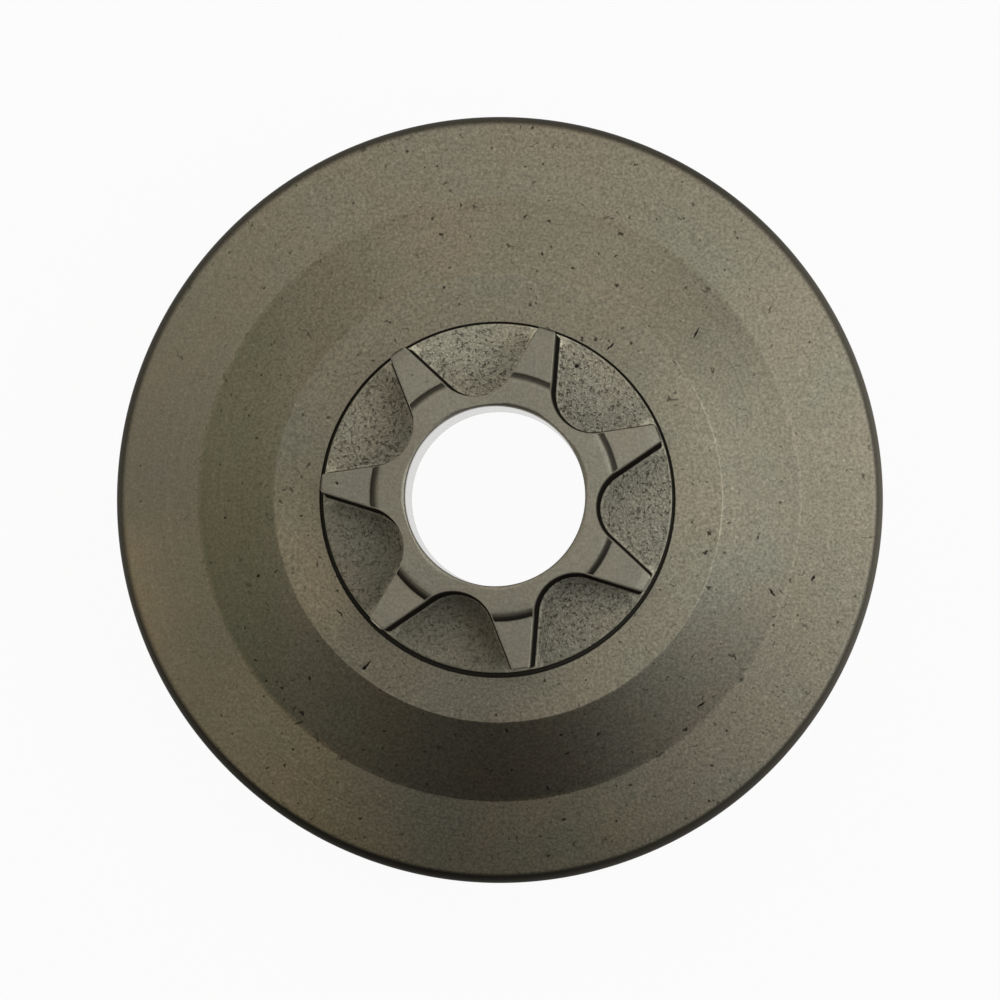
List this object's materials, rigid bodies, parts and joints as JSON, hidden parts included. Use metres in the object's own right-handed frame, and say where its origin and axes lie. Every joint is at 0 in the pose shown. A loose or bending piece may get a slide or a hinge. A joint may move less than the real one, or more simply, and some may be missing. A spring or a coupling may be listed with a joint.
{
  "type": "chainsaw clutch drum with spur sprocket",
  "caption": "Turned steel clutch cup with a conical boss and a brazed star-shaped spur sprocket, bored through for a bearing, that drives a saw chain.",
  "frame": {"origin": "on the drum's axis, in the plane of its open rim, at the middle of the box's base", "axes": "+Z along the axis, from the open rim towards the teeth; +X to the right and +Y up in the picture's view"},
  "size_m": [0.07, 0.07, 0.0293],
  "materials": {
    "drum_steel": "turned steel, dull, with stains, fine pits and faint turning marks",
    "sprocket_steel": "sintered steel, smooth ground tops, grainy pocket floors and dark flanks"
  },
  "bodies": {
    "root": {"clutch_drum": "drum_steel", "spur_sprocket": "sprocket_steel"}
  },
  "joints": []
}
